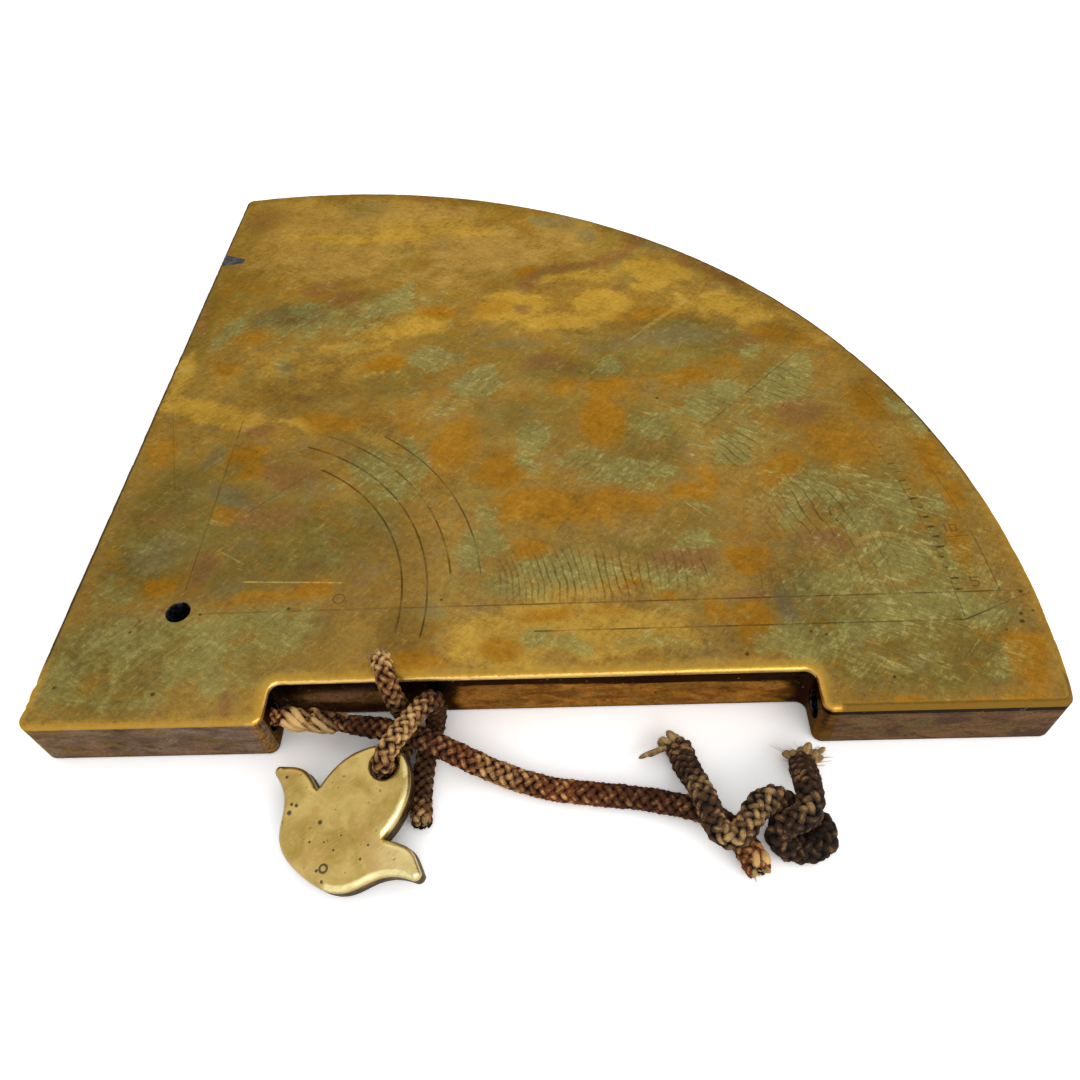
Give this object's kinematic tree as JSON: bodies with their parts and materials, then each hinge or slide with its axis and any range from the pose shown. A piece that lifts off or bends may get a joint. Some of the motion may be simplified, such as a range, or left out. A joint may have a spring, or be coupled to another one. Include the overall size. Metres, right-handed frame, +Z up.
{
  "type": "astronomical quadrant",
  "caption": "Thick brass quarter plate with a divided limb, two bored sight blocks either side of a recess, a lead repair, and a flat tulip-shaped plumb bob on knotted cord.",
  "frame": {"origin": "axis of the apex bore at the plate's underside", "axes": "+X along the sighting edge, towards the limb's zero; +Y along the plain straight edge; +Z up out of the engraved face"},
  "size_m": [0.251, 0.2888, 0.022],
  "materials": {
    "plate_brass": "old dull brass with brown and green patina",
    "lead": "dull lead grey",
    "bob_brass": "worn smooth, pale, pitted",
    "cord": "tan braided cord",
    "bob_cord": "tan braided cord",
    "stop_cord": "brown braided cord, frayed at its ends"
  },
  "bodies": {
    "quadrant": {"quadrant_plate": "plate_brass", "repair_plug": "lead", "main_cord": "cord", "bob_hitch": "bob_cord", "end_knot": "stop_cord"},
    "bob": {"plumb_bob": "bob_brass"}
  },
  "joints": [
    {"name": "bob_swivel", "type": "hinge", "parent": "quadrant", "child": "bob", "pos_m": [0.0592, -0.0409, 0.00489], "axis": [-0.0954, -0.1347, 0.9863], "range_deg": [-18, 0]}
  ]
}
